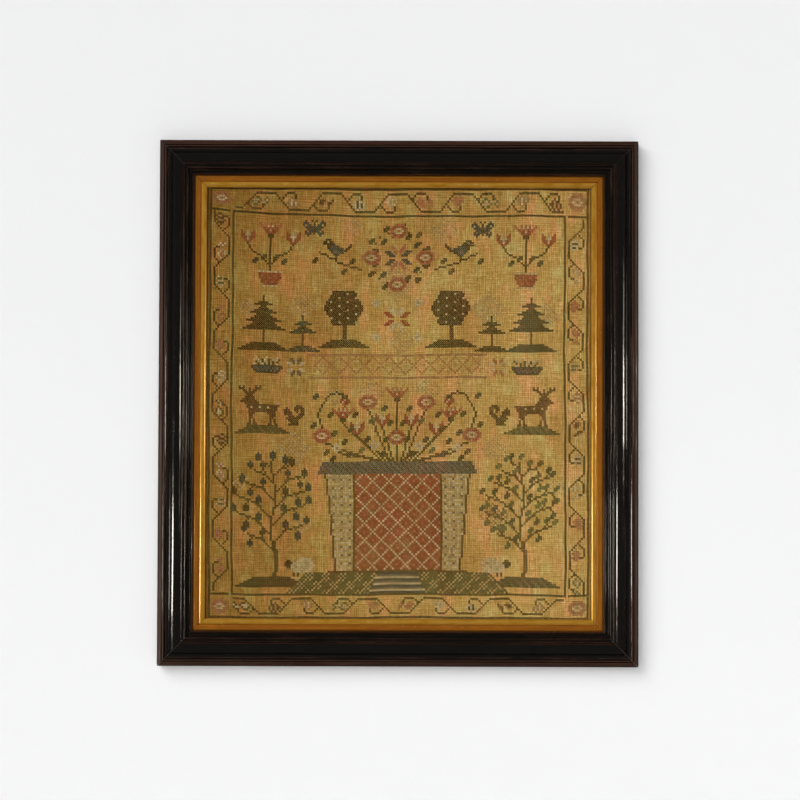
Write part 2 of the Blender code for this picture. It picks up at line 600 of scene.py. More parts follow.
def faded(s, cx, cy, half, thread):
    """What is left of a motif whose colour has gone: here and there a cross still shows."""
    for dx in range(-half, half + 1):
        for dy in range(abs(dx) - half, half - abs(dx) + 1):
            if (dx + dy) % 2 == 0 and (3 * dx + 5 * dy + cx) % 7 and (cx + dx, cy + dy) not in s.cells:
                s.put(cx + dx, cy + dy, thread)


def design():
    """The whole chart: motifs placed by their columns from the axis and rows from the top."""
    s = Sampler()
    border(s)
    # top: a wreath and star, with birds on sprigs and pots in the corners
    wreath(s, AXIS, 31, 13)
    star(s, AXIS, 31, 3, "B", "P")
    s.both(BIRD, AXIS - 37, 23)
    for side in (-1, 1):
        s.line([(AXIS + side * 18, 37), (AXIS + side * 28, 34), (AXIS + side * 38, 29)], "NK")
        leaf(s, AXIS + side * 22, 33, "G")
        leaf(s, AXIS + side * 26, 38, "O")
        leaf(s, AXIS + side * 40, 33, "G")
        flower_pot(s, AXIS + side * 62, 46)
    s.both(BUTTERFLY, AXIS - 46, 14)
    # second row: firs at the sides, fruit trees within, a star between
    conifer(s, AXIS - 65, 77, 4, "G", "K")
    conifer(s, AXIS + 65, 77, 4, "T", "G")
    conifer(s, AXIS - 46, 77, 2, "T", "M")
    conifer(s, AXIS + 46, 77, 2, "G", "O")
    for column in (AXIS - 26, AXIS + 26):
        apple_tree(s, column, 75, 9, "K", "O", "C")
    star(s, AXIS, 61, 3, "R", "C")
    s.both(DAISY, AXIS - 12, 51)
    s.both(DAISY, AXIS - 12, 68)
    # the faded bands
    chain(s, AXIS - 40, AXIS + 40, 80, "D", "Y")
    for row in (79, 90):
        s.line([(AXIS - 43, row), (AXIS + 43, row)], "D")
    # stags at the sides, with fruit baskets above, and berry plants within
    s.both(STAG, AXIS - 76, 95)
    mound(s, AXIS - 65, 117, 13, "O", "M")
    mound(s, AXIS + 65, 117, 13, "M", "G")
    s.both(SQUIRREL, AXIS - 54, 104)
    s.both(PUNNET, AXIS - 70, 81)
    star(s, AXIS - 49, 85, 2, "C", "S")
    star(s, AXIS + 49, 85, 2, "C", "P")
    for side in (-1, 1):
        foot = AXIS + side * 36
        path = [(0, 0), (side * 2, -6), (0, -11), (-side * 3, -15), (-side * 7, -17), (-side * 11, -15)]
        spray(s, foot, 114, path, "GO", BERRY, hangs=True)
        leaf(s, foot + side * 3, 99, "T")
        leaf(s, foot - side * 4, 108, "O")
        leaf(s, foot + side * 4, 113, "G")
    # foot: trees at the sides, the basket between
    tree(s, AXIS - 60, 186, 56, 11, "O", "BBTBG", True)
    tree(s, AXIS + 60, 186, 56, 11, "O", "MMTMO", False)
    mound(s, AXIS - 61, 190, 17, "G", "T")
    mound(s, AXIS + 61, 190, 17, "T", "M")
    s.both(SHEEP, AXIS - 54, 177)
    basket(s, AXIS, 136, 182, 35, 30)
    bouquet(s, AXIS, 130)
    ground(s, 184, 193)
    gone = (
        # motifs almost faded away: columns from the axis, row, half width
        (0, 42, 11), (-22, 16, 5), (22, 18, 6), (-45, 55, 7), (44, 56, 8), (2, 72, 6),
        (-12, 97, 6), (15, 96, 7), (-50, 124, 8), (47, 125, 6), (-73, 57, 5), (72, 60, 6),
        (-30, 99, 4), (-46, 160, 5), (46, 157, 6), (-76, 140, 4), (76, 143, 5),
    )
    for cx, cy, half in gone:
        faded(s, AXIS + cx, cy, half, "FYFDF"[(cx + cy) % 5])
    return s.cells


# Meshes

def smooth(low, high, value):
    """0 up to low and 1 from high on, eased between."""
    t = np.clip((value - low) / (high - low), 0.0, 1.0)
    return t * t * (3.0 - 2.0 * t)


def new_object(name, data):
    thing = bpy.data.objects.new(name, data)
    bpy.context.scene.collection.objects.link(thing)
    return thing


def add_piece(name, mesh, material):
    piece = new_object(name, mesh)
    mesh.materials.append(material)
    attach(piece, "root")
    return piece


def mesh_from(name, points, faces, values):
    """A smooth-shaded mesh; values are named numbers or triples kept at its points."""
    mesh = bpy.data.meshes.new(name)
    points = np.asarray(points, np.float32)
    mesh.vertices.add(len(points))
    mesh.vertices.foreach_set("co", points.ravel())
    sizes = np.concatenate([np.full(len(f), f.shape[1], np.int32) for f in faces])
    corners = np.concatenate([f.ravel() for f in faces]).astype(np.int32)
    mesh.loops.add(len(corners))
    mesh.loops.foreach_set("vertex_index", corners)
    mesh.polygons.add(len(sizes))
    starts = np.concatenate([[0], np.cumsum(sizes)[:-1]]).astype(np.int32)
    mesh.polygons.foreach_set("loop_start", starts)
    mesh.polygons.foreach_set("use_smooth", np.ones(len(sizes), bool))
    mesh.update(calc_edges=True)
    for key, array in values.items():
        array = np.asarray(array, np.float32)
        kind = "FLOAT_VECTOR" if array.ndim == 2 else "FLOAT"
        layer = mesh.attributes.new(key, kind, "POINT")
        layer.data.foreach_set("vector" if array.ndim == 2 else "value", array.ravel())
    return mesh


# Cloth and needlework

PITCH = (2 * (FRAME_WIDTH / 2 - SIGHT) / COLUMNS, 2 * (FRAME_HEIGHT / 2 - SIGHT) / ROWS)


def drawn(u, v):
    """Where a point of the chart lies on the cloth, across and up. The ground was worked in the hand
    and pulled out of true, so its lines waver, and they sag under the top edge."""
    s, t = u / COLUMNS, v / ROWS
    held = (smooth(-0.051, 0.02, s) * smooth(1.051, 0.98, s)
            * smooth(-0.045, 0.015, t) * smooth(1.045, 0.985, t))
    sag = 3.2 - 7.6 * (1.0 - np.exp(-np.maximum(s, 0.0) / 0.13))
    sag = sag * smooth(0.004, 0.05, t) * (1.0 - smooth(0.07, 0.6, t))
    dx = (0.7 * np.sin(7.1 * t + 1.7 * s + 0.9) + 0.4 * np.sin(19.0 * t - 5.0 * s + 2.2)
          + 0.22 * np.sin(57.0 * t + 9.0 * s))
    dz = (0.6 * np.sin(9.3 * s + 2.1 * t + 0.4) + 0.4 * np.sin(23.0 * s - 6.0 * t + 1.3)
          + 0.22 * np.sin(61.0 * s + 11.0 * t) + sag)
    x = (u - COLUMNS / 2) * PITCH[0] + held * dx * MM
    z = (ROWS / 2 - v) * PITCH[1] + held * dz * MM
    return x, z


def cloth_rise(x, z):
    """How far the cloth's front stands above the wall at a point of the picture."""
    s, t = x / CLOTH_HALF[0], z / CLOTH_HALF[1]
    inside = np.maximum(0.0, 1.0 - (s / 0.9) ** 2) * np.maximum(0.0, 1.0 - (t / 0.9) ** 2)
    waves = np.sin(5.0 * s + 1.6 * t) * np.cos(4.0 * t - 0.8 * s)
    puckers = (np.sin(31.0 * s + 7.0 * np.sin(3.1 * t)) * np.sin(26.0 * t + 5.0 * np.sin(4.3 * s + 1.0))
               + 0.6 * np.sin(58.0 * s + 17.0 * t + 3.0 * np.sin(9.0 * t)))
    belly = inside * (CLOTH_BELLY + CLOTH_RIPPLE * waves)
    return CLOTH_FRONT + belly + np.sqrt(inside) * CLOTH_PUCKER * puckers


def on_cloth(u, v, lift):
    """Points of the chart, lifted off the cloth's front."""
    x, z = drawn(u, v)
    return np.stack([x, -(cloth_rise(x, z) + lift), z + CENTRE_Z], axis=-1)


def make_cloth(material):
    """The ground cloth, its points keeping where they lie in the chart, for the weave to follow."""
    columns, rows = 150, 166
    reach = (CLOTH_HALF[0] / PITCH[0], CLOTH_HALF[1] / PITCH[1])
    u, v = np.meshgrid(COLUMNS / 2 + np.linspace(-reach[0], reach[0], columns + 1),
                       ROWS / 2 + np.linspace(-reach[1], reach[1], rows + 1))
    points = on_cloth(u.ravel(), v.ravel(), 0.0)
    lay = np.stack([u.ravel(), v.ravel(), 0.0 * u.ravel()], axis=-1)
    i, j = np.meshgrid(np.arange(columns), np.arange(rows))
    a = (j * (columns + 1) + i).ravel()
    faces = np.stack([a, a + columns + 1, a + columns + 2, a + 1], axis=-1)
    mesh = mesh_from("sampler_ground", points, [faces], {"lay": lay})
    cloth = add_piece("sampler_ground", mesh, material)
    body = cloth.modifiers.new("thickness", "SOLIDIFY")
    body.thickness = CLOTH_THICKNESS
    body.offset = -1.0
    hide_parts("sampler_cloth")
    return cloth


LEG_STATIONS = (
    # along the leg, half width and height of its underside and top, millimetres
    (-0.97, 0.28, -0.1, 0.16),
    (-0.45, 0.42, 0.05, 0.46),
    (0.45, 0.42, 0.05, 0.46),
    (0.97, 0.28, -0.1, 0.16),
)
UPPER_LEG = 0.26  # rise of the upper leg where it crosses the lower one, millimetres
STRAY, SKEW = 0.035, 0.045  # how far a cross strays and a leg is skewed, in stitches
TONE_SPREAD = 0.22


def make_stitches(name, cells, material):
    """One thread's crosses. A cross is two legs over its square of ground, each sunk at its ends where
    it goes through the cloth, the second one lying over the first."""
    cells = np.array(sorted(cells), float)
    count = len(cells)
    chance = np.random.default_rng(len(name) * 97 + count)
    stray = chance.normal(0.0, STRAY, (count, 2))
    tone = np.clip(chance.normal(0.5, TONE_SPREAD, count), 0.0, 1.0)
    points, tones_with_end_shade = [], []
    for way, raised in ((1.0, 0.0), (-1.0, UPPER_LEG)):
        skew = chance.normal(0.0, SKEW, count)
        for along, half, under, top in LEG_STATIONS:
            u = cells[:, 0] + 0.5 + stray[:, 0] + along * (0.5 + skew)
            v = cells[:, 1] + 0.5 + stray[:, 1] - way * along * (0.5 - skew)
            middle = raised * (1.0 - abs(along))
            for side, height in ((-1.0, under), (0.0, top), (1.0, under)):
                off = side * half * MM * math.sqrt(0.5) / PITCH[0]
                points.append(on_cloth(u + off, v + way * off, (height + middle) * MM))
                # painted shade: each leg darker towards its ends, where it sinks into the cloth
                tones_with_end_shade.append(tone - 0.5 * abs(along) ** 3)
    points = np.stack(points, axis=1)
    quads, ends = [], []
    size = 3 * len(LEG_STATIONS)
    for base in (0, size):
        flip = base == size
        for ring in range(0, size - 3, 3):
            for k in range(3):
                a, b = base + ring + k, base + ring + (k + 1) % 3
                quad = (a, b, b + 3, a + 3)
                quads.append(quad[::-1] if flip else quad)
        tail = base + size - 3
        first, last = (base, base + 2, base + 1), (tail, tail + 1, tail + 2)
        ends += [first[::-1], last[::-1]] if flip else [first, last]
    step = (np.arange(count) * 2 * size)[:, None, None]
    faces = [(np.array(quads)[None] + step).reshape(-1, 4), (np.array(ends)[None] + step).reshape(-1, 3)]
    values = {"tone": np.stack(tones_with_end_shade, axis=1).ravel()}
    mesh = mesh_from(name, points.reshape(-1, 3), faces, values)
    return add_piece(name, mesh, material)


# Mouldings

CORNER_EASE = 0.16  # how far a corner is eased back along its sides, millimetres
EASE_SHARE = 0.35  # and the most of the way to the next point
CORNER_RIM = 0.35  # from a corner to the next point of a straight side, millimetres


def profile_points(rows, step):
    """A moulding's closed outline, its sharp corners eased, as (across, up, wear and painted light) in
    millimetres.
    """
    points = [(rows[0][0], rows[0][1], rows[0][3], True)]
    for across, up, bulge, wear_and_painted_light in rows[1:]:
        x0, y0, worn, _ = points[-1]
        chord = math.hypot(across - x0, up - y0)
        if abs(bulge) < 1e-9:
            rim = CORNER_RIM / max(chord, 1.0)
            points += [(x0 + (across - x0) * t, y0 + (up - y0) * t, worn + (wear_and_painted_light - worn) * t, t == 1.0)
                       for t in (rim, 1.0 - rim, 1.0)]
            continue
        half_turn = 2.0 * math.atan(2.0 * abs(bulge) / chord)
        radius = chord / (2.0 * math.sin(half_turn))
        steps = max(4, math.ceil(2.0 * radius * half_turn / step))
        side = math.copysign(1.0, bulge)
        normal = (-(up - y0) / chord * side, (across - x0) / chord * side)
        for k in range(1, steps + 1):
            turn = half_turn * (2.0 * k / steps - 1.0)
            along = 0.5 + radius * math.sin(turn) / chord
            off = radius * (math.cos(turn) - math.cos(half_turn))
            points.append((x0 + (across - x0) * along + normal[0] * off,
                           y0 + (up - y0) * along + normal[1] * off, wear_and_painted_light, k == steps))
    eased = []
    count = len(points)
    for k, (x, y, wear_and_painted_light, corner) in enumerate(points):
        before, after = points[k - 1], points[(k + 1) % count]
        if not corner:
            eased.append((x, y, wear_and_painted_light))
            continue
        for other in (before, after):
            length = math.hypot(other[0] - x, other[1] - y)
            share = min(CORNER_EASE, EASE_SHARE * length) / length
            eased.append((x + (other[0] - x) * share, y + (other[1] - y) * share, wear_and_painted_light))
    return np.array(eased)


def moulding(kind, rows, step, material, waver):
    """Four mitred lengths of moulding round the picture, each a little uneven along its length, as
    work planed by hand is. Points keep their place along and across the moulding for the grain."""
    outline = profile_points(rows, step)
    for number, (side, turn, upright) in enumerate(SIDES):
        length, reach = (FRAME_HEIGHT, FRAME_WIDTH / 2) if upright else (FRAME_WIDTH, FRAME_HEIGHT / 2)
        share = np.linspace(-1.0, 1.0, STATIONS + 1)[:, None]
        across, up, wear_and_painted_light = (outline[None, :, k] * np.ones_like(share) for k in range(3))
        half = length / 2 - across * MM - MITRE_GAP / math.sqrt(2.0)
        along = share * half
        drift = along / MM + GRAIN_SHIFT * number
        free = smooth(1.0, 0.97, np.abs(share)) * smooth(0.3, 3.0, up)
        uneven = free * waver * (np.sin(drift * 0.043 + across * 0.22)
                                 + 0.6 * np.sin(drift * 0.117 + 2.0)
                                 + 0.5 * np.sin(drift * 0.29 + across * 0.7))
        x, z = along, reach - across * MM
        angle = math.radians(turn)
        points = np.stack([
            (x * math.cos(angle) + z * math.sin(angle)),
            -(up + uneven) * MM,
            (-x * math.sin(angle) + z * math.cos(angle)) + CENTRE_Z,
        ], axis=-1).reshape(-1, 3)
        count = outline.shape[0]
        i, k = np.meshgrid(np.arange(STATIONS), np.arange(count), indexing="ij")
        a, b = i * count + k, i * count + (k + 1) % count
        sides = np.stack([a, a + count, b + count, b], axis=-1).reshape(-1, 4)
        lay = np.stack([drift + 0.0 * across, across, up], axis=-1).reshape(-1, 3)
        name = f"{kind}_{side}_moulding"
        mesh = mesh_from(name, points, [sides], {"lay": lay, "wear_and_painted_light": wear_and_painted_light.ravel()})
        shape = bmesh.new()
        shape.from_mesh(mesh)
        shape.verts.ensure_lookup_table()
        for first in (0, STATIONS * count):
            ring = [shape.verts[first + n] for n in range(count)]
            cap = shape.faces.new(ring)
            bmesh.ops.triangulate(shape, faces=[cap])
        bmesh.ops.recalc_face_normals(shape, faces=shape.faces)
        shape.to_mesh(mesh)
        shape.free()
        mesh.set_sharp_from_angle(angle=SHARP_ANGLE)
        piece = add_piece(name, mesh, material)
        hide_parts(f"{kind}_{side}")


# Materials

class Look:
    """A node material, built up in short steps."""

    def __init__(self, name):
        self.material = bpy.data.materials.new(name)
        self.material.use_nodes = True
        self.tree = self.material.node_tree
        self.shader = self.tree.nodes["Principled BSDF"]

    def node(self, kind, inputs=(), out=0, **settings):
        made = self.tree.nodes.new("ShaderNode" + kind)
        for key, value in settings.items():
            setattr(made, key, value)
        for key, value in dict(inputs).items():
            self.feed(made.inputs[key], value)
        return made.outputs[out]

    def feed(self, socket, value):
        if isinstance(value, bpy.types.NodeSocket):
            self.tree.links.new(value, socket)
        elif socket.type == "RGBA":
            socket.default_value = (*value, 1.0)
        else:
            socket.default_value = value

    def kept(self, name, out="Fac"):
        """A value that the mesh keeps at its points."""
        return self.node("Attribute", out=out, attribute_name=name)

    def stretched(self, place, stretch, shift=(0.0, 0.0, 0.0)):
        return self.node("Mapping", {"Vector": place, "Scale": stretch, "Location": shift})

    def lay(self, stretch=(1.0, 1.0, 1.0), shift=(0.0, 0.0, 0.0)):
        """Where a point lies in its piece, in the piece's own measure."""
        return self.stretched(self.kept("lay", "Vector"), stretch, shift)

    def parts(self, place):
        made = self.tree.nodes.new("ShaderNodeSeparateXYZ")
        self.feed(made.inputs[0], place)
        return made.outputs

    def noise(self, place, scale, detail=3.0, rough=0.5):
        inputs = {"Vector": place, "Scale": scale, "Detail": detail, "Roughness": rough}
        return self.node("TexNoise", inputs)

    def sum(self, operation, *values):
        return self.node("Math", enumerate(values), operation=operation)

    def ramp(self, value, low, high, to_low=0.0, to_high=1.0):
        inputs = {"Value": value, "From Min": low, "From Max": high, "To Min": to_low, "To Max": to_high}
        return self.node("MapRange", inputs, clamp=True)

    def mix(self, share, one, two, blend="MIX"):
        made = self.tree.nodes.new("ShaderNodeMix")
        made.data_type = "RGBA"
        made.blend_type = blend
        for socket, value in ((made.inputs[0], share), (made.inputs[6], one), (made.inputs[7], two)):
            self.feed(socket, value)
        return made.outputs[2]

    def product(self, values):
        whole = values[0]
        for value in values[1:]:
            whole = self.sum("MULTIPLY", whole, value)
        return whole

    def shade(self, colour, level, chalk=1.0):
        """A colour made darker or paler by a level; chalk over 1 makes it greyer as it pales."""
        green, blue = (self.sum("POWER", level, 1.0 + (chalk - 1.0) * k) for k in (0.3, 1.0))
        grey = self.node("CombineColor", {0: level, 1: green, 2: blue})
        return self.mix(1.0, colour, grey, "MULTIPLY")

    def bump(self, height, distance, strength=1.0, under=None):
        inputs = {"Height": height, "Distance": distance, "Strength": strength}
        if under is not None:
            inputs["Normal"] = under
        return self.node("Bump", inputs)

    def finish(self, **inputs):
        for key, value in inputs.items():
            self.feed(self.shader.inputs[key.replace("_", " ")], value)
        return self.material


def weave(look, u, v):
    """Height of a plain weave whose threads lie one to each unit of u and v, 0 in the holes."""
    wave_u, wave_v = (look.sum("COSINE", look.sum("MULTIPLY", w, math.pi)) for w in (u, v))
    over = look.ramp(look.sum("MULTIPLY", wave_u, wave_v), -1, 1, 0.35, 1)
    under = look.ramp(over, 0.35, 1, 1, 0.35)
    upright = look.sum("MULTIPLY", look.sum("POWER", look.sum("ABSOLUTE", wave_u), 1.2), over)
    level = look.sum("MULTIPLY", look.sum("POWER", look.sum("ABSOLUTE", wave_v), 1.2), under)
    return look.sum("MAXIMUM", upright, level)


def cloth_look():
    """Open linen browned unevenly with age, with painted shade making it darkest at the left and a
    painted shadow along the slip's left, top and right edges.
    """
    look = Look("ground_cloth")
    place = look.lay()
    across, down, _ = look.parts(place)
    # threads that wander, and lie closer in pairs, one pair to a stitch
    wander = look.ramp(look.noise(place, 0.18, 2), 0.25, 0.75, 0.35, 0.65)
    u, v = look.sum("ADD", across, wander), look.sum("SUBTRACT", down, wander)
    pairs = weave(look, u, v)
    single = weave(look, look.sum("MULTIPLY_ADD", u, 2, -0.5), look.sum("MULTIPLY_ADD", v, 2, -0.5))
    stains = look.noise(place, 0.022, 4, 0.55)
    warm = look.noise(look.lay((1, 0.35, 1), (200, 0, 0)), 0.1, 4, 0.7)
    straw = look.noise(look.lay((1, 0.5, 1), (0, 500, 0)), 0.12, 4, 0.7)
    colour = look.mix(look.ramp(stains, 0.34, 0.66), (0.262, 0.134, 0.027), (0.325, 0.195, 0.043))
    colour = look.mix(look.ramp(warm, 0.48, 0.66, 0, 0.85), colour, (0.42, 0.18, 0.054))
    colour = look.mix(look.ramp(straw, 0.5, 0.68, 0, 0.7), colour, (0.33, 0.248, 0.068))
    # painted shade darker towards the left, as if lit from the right; darker towards the top; a painted
    # shadow along the slip's left, top and right edges; and dark between the threads
    levels = [
        # painted light: darker at the left and paler at the right, as if lit from the right
        look.ramp(across, -4, 90, 0.78, 1.04),
        look.ramp(across, -4, 190, 0.9, 1.21),
        look.ramp(down, -4, 42, 0.86),
        # painted shadow of the slip along the cloth's top, left and right edges
        look.ramp(down, -1, 1, 0.6),
        look.ramp(across, -0.5, 1.4, 0.35),
        look.ramp(across, COLUMNS + 0.5, COLUMNS - 1.4, 0.2),
        look.ramp(pairs, 0.05, 0.7, 0.66, 1.16),
        look.ramp(single, 0.05, 0.45, 0.82, 1.04),
    ]
    streaks = (
        # across, down, detail, darkest, palest
        (1.5, 0.08, 3, 0.84, 1.16),
        (0.08, 1.5, 3, 0.86, 1.14),
        (2.6, 0.2, 2, 0.86, 1.14),
        (0.2, 2.6, 2, 0.88, 1.12),
        (0.9, 0.9, 3, 0.86, 1.14),
    )
    slubs = []
    for number, (way_u, way_v, detail, dark, pale) in enumerate(streaks):
        drawn_out = look.lay((way_u, way_v, 1), (37 * number, 11 * number, 0))
        streak = look.noise(drawn_out, 1, detail)
        levels.append(look.ramp(streak, 0.32, 0.68, dark, pale))
        slubs.append(streak)
    colour = look.shade(colour, look.product(levels), 1.9)
    under = look.bump(look.sum("ADD", slubs[0], slubs[1]), 0.0004, 0.7)
    under = look.bump(pairs, 0.0003, 0.6, under)
    return look.finish(Base_Color=colour, Roughness=0.95, Specular_IOR_Level=0.08,
                       Normal=look.bump(single, 0.00016, 0.7, under))


def thread_look(name, colour, fade):
    """One thread: soft wool, faded unevenly, each stitch a little different, each leg with painted shade
    towards its ends.
    """
    look = Look(name)
    tone = look.kept("tone")
    place = look.node("TexCoord", out="Object")
    worn = look.noise(place, 34, 3, 0.6)
    shade = look.mix(look.ramp(worn, 0.44, 0.74), colour, fade)
    # tone holds each stitch's random tone and the painted shade at its legs' ends
    shade = look.shade(shade, look.ramp(tone, -0.5, 1, 0.36, 1.32))
    fibres = look.noise(look.stretched(place, (1, 1, 2.4)), 5200, 2)
    return look.finish(Base_Color=shade, Roughness=0.8, Specular_IOR_Level=0.05,
                       Normal=look.bump(fibres, 0.00012, 0.7))


def ebonised_look():
    """Black polished wood, rubbed through to red-brown where hands and dusters reach it."""
    look = Look("ebonised_wood")
    wear_and_painted_light = look.kept("wear_and_painted_light")
    height = look.parts(look.lay())[2]
    streak = look.noise(look.lay((0.012, 0.9, 0.9)), 1, 4, 0.6)
    patch = look.noise(look.lay((0.02, 0.12, 0.12), (300, 0, 0)), 1, 3, 0.6)
    grain = look.noise(look.lay((0.05, 3.2, 3.2)), 1, 3, 0.7)
    specks = look.noise(look.lay((0.35, 0.7, 0.7), (70, 0, 0)), 1, 2, 0.7)
    scratches = look.noise(look.lay((1.1, 0.16, 0.16), (11, 3, 0)), 1, 4, 0.8)
    rubbed = look.sum("ADD", look.sum("MULTIPLY", streak, 0.55), look.sum("MULTIPLY", patch, 0.45))
    rubbed = look.sum("ADD", rubbed, look.sum("SUBTRACT", look.sum("MULTIPLY", wear_and_painted_light, 0.62), 0.3))
    share = look.ramp(rubbed, 0.4, 0.74)
    black = look.mix(look.ramp(grain, 0.35, 0.7), (0.0024, 0.0021, 0.0017), (0.0062, 0.0048, 0.0034))
    brown = look.mix(look.ramp(grain, 0.3, 0.7), (0.022, 0.0068, 0.0034), (0.068, 0.024, 0.012))
    colour = look.mix(look.sum("MULTIPLY", share, 0.85), black, brown)
    colour = look.mix(look.ramp(specks, 0.74, 0.8, 0, 0.35), colour, (0.12, 0.075, 0.045))
    back = look.ramp(height, 0.2, 1.4, 1, 0)
    raw = look.mix(look.ramp(grain, 0.3, 0.7), (0.3, 0.17, 0.085), (0.42, 0.27, 0.15))
    colour = look.mix(back, colour, raw)
    rough = look.ramp(look.sum("ADD", share, look.sum("MULTIPLY", patch, 0.5)), 0.25, 1.2, 0.08, 0.6)
    rough = look.sum("MAXIMUM", rough, look.sum("MULTIPLY", back, 0.8))
    polish = look.ramp(look.sum("ADD", share, back), 0, 0.8, 0.25, 0)
    dents = look.bump(look.ramp(scratches, 0.62, 0.8), 0.00012, 0.5,
                      look.bump(patch, 0.001, 0.15, look.bump(grain, 0.00005, 0.6)))
    return look.finish(Base_Color=colour, Roughness=rough, Specular_IOR_Level=0.45, Coat_Weight=polish,
                       Specular_Tint=(1, 0.92, 0.8), Coat_Roughness=0.08, Normal=dents)


def gilt_look():
    """Old gilding: warm, rubbed thin and paler on its beads, the paleness there partly a painted sheen;
    dulled in patches, most in its hollows; with painted shadow beside the rail and faint painted shade in
    the groove.
    """
    look = Look("gilt_slip")
    wear_and_painted_light = look.kept("wear_and_painted_light")
    long = look.noise(look.lay((0.016, 0.5, 0.5)), 1, 4, 0.6)
    cloud = look.noise(look.lay((0.06, 0.2, 0.2), (120, 0, 0)), 1, 3, 0.6)
    speck = look.noise(look.lay((0.9, 1.4, 1.4), (5, 5, 0)), 1, 2, 0.7)
    deep = look.mix(look.ramp(long, 0.35, 0.68), (0.3, 0.094, 0.008), (0.42, 0.147, 0.012))
    pale = look.mix(look.ramp(cloud, 0.35, 0.7), (0.385, 0.172, 0.012), (0.53, 0.29, 0.04))
    # paler where the value is high: rubbed gilding, and on the beads partly a painted sheen
    share = look.sum("ADD", wear_and_painted_light, look.sum("MULTIPLY", look.sum("SUBTRACT", long, 0.5), 0.7))
    colour = look.mix(look.ramp(share, 0.05, 0.7), deep, pale)
    dull = look.ramp(look.sum("SUBTRACT", cloud, look.sum("MULTIPLY", wear_and_painted_light, 0.3)), 0.3, 0.62, 0, 0.4)
    colour = look.mix(dull, colour, (0.16, 0.052, 0.004))
    colour = look.mix(look.ramp(speck, 0.7, 0.78, 0, 0.5), colour, (0.1, 0.04, 0.008))
    # painted shadow: near black beside the rail where the value is below 0, and faint in the groove
    colour = look.mix(look.ramp(wear_and_painted_light, -1, 0, 0.92, 0), colour, (0.04, 0.014, 0.003))
    rough = look.ramp(cloud, 0.3, 0.75, 0.16, 0.3)
    bumps = look.bump(speck, 0.00008, 0.5, look.bump(long, 0.0004, 0.35))
    return look.finish(Base_Color=colour, Metallic=0.32, Roughness=rough, Normal=bumps,
                       Specular_IOR_Level=0.3, Specular_Tint=(1, 0.85, 0.5),
                       Coat_Weight=0.3, Coat_Roughness=0.1)


def board_look():
    """A thin pine board, browned with age, its grain upright."""
    look = Look("backboard")
    place = look.node("TexCoord", out="Object")
    warped = look.noise(place, 6, 2)
    lines = look.stretched(place, (150, 150, 5))
    rings = look.node("TexNoise", {"Vector": lines, "Scale": 1, "Detail": 4, "Distortion": 0.4})
    pores = look.noise(look.stretched(place, (2200, 2200, 60)), 1)
    colour = look.mix(look.ramp(rings, 0.35, 0.65), (0.21, 0.115, 0.052), (0.36, 0.225, 0.12))
    colour = look.mix(look.ramp(warped, 0.45, 0.75, 0, 0.5), colour, (0.17, 0.095, 0.045))
    colour = look.mix(look.ramp(pores, 0.6, 0.75, 0, 0.35), colour, (0.11, 0.06, 0.03))
    bumps = look.bump(rings, 0.0003, 0.4, look.bump(pores, 0.00008, 0.5))
    return look.finish(Base_Color=colour, Roughness=0.78, Normal=bumps)


def plain_look(name, colour, see_through):
    """A smooth matt studio surface; seen from behind it lets the picture's back show."""
    look = Look(name)
    dust = look.noise(look.node("TexCoord", out="Object"), 3, 2)
    level = look.ramp(dust, 0.3, 0.7, 0.985, 1.015)
    look.finish(Base_Color=look.shade(colour, level), Roughness=0.95, Specular_IOR_Level=0.1)
    if see_through:
        clear = look.node("BsdfTransparent")
        behind = look.node("NewGeometry", out="Backfacing")
        both = look.node("MixShader", {0: behind, 1: look.shader.outputs[0], 2: clear})
        look.tree.links.new(both, look.tree.nodes["Material Output"].inputs["Surface"])
    return look.material


# Threads: colour, and what it fades to
THREADS = {
    "G": ("dark_green", (0.03, 0.027, 0.006), (0.06, 0.047, 0.012)),
    "O": ("olive", (0.05, 0.045, 0.01), (0.1, 0.08, 0.02)),
    "M": ("grey_green", (0.088, 0.102, 0.03), (0.15, 0.142, 0.045)),
    "T": ("teal", (0.02, 0.038, 0.02), (0.052, 0.062, 0.026)),
    "B": ("blue", (0.007, 0.04, 0.037), (0.022, 0.056, 0.042)),
    "S": ("slate", (0.09, 0.088, 0.062), (0.15, 0.135, 0.08)),
    "R": ("brick", (0.27, 0.046, 0.019), (0.32, 0.095, 0.036)),
    "P": ("pink", (0.37, 0.115, 0.052), (0.4, 0.185, 0.07)),
    "D": ("faded_pink", (0.35, 0.165, 0.065), (0.35, 0.2, 0.065)),
    "C": ("cream", (0.56, 0.44, 0.23), (0.44, 0.32, 0.13)),
    "Y": ("straw", (0.44, 0.31, 0.095), (0.38, 0.26, 0.08)),
    "F": ("faded_straw", (0.46, 0.32, 0.13), (0.4, 0.24, 0.085)),
    "K": ("brown_black", (0.026, 0.015, 0.005), (0.05, 0.032, 0.01)),
    "N": ("brown", (0.07, 0.033, 0.01), (0.12, 0.063, 0.02)),
}


def needlework(cloth):
    """Every thread's crosses, one piece to a thread, worked on the stretched cloth."""
    by_thread = {}
    for cell, thread in design().items():
        by_thread.setdefault(thread, []).append(cell)
    for thread, cells in by_thread.items():
        name, colour, fade = THREADS[thread]
        look = thread_look("thread_" + name, colour, fade)
        make_stitches("stitches_" + name, cells, look)


# Studio

def hang(name, data, where):
    """A lamp at a place measured from the picture's middle, and aimed at it."""
    lamp = new_object(name, data)
    lamp.location = Vector((0.0, 0.0, CENTRE_Z)) + Vector(where)
    lamp.rotation_euler = (-Vector(where)).to_track_quat("-Z", "Y").to_euler()
    return lamp


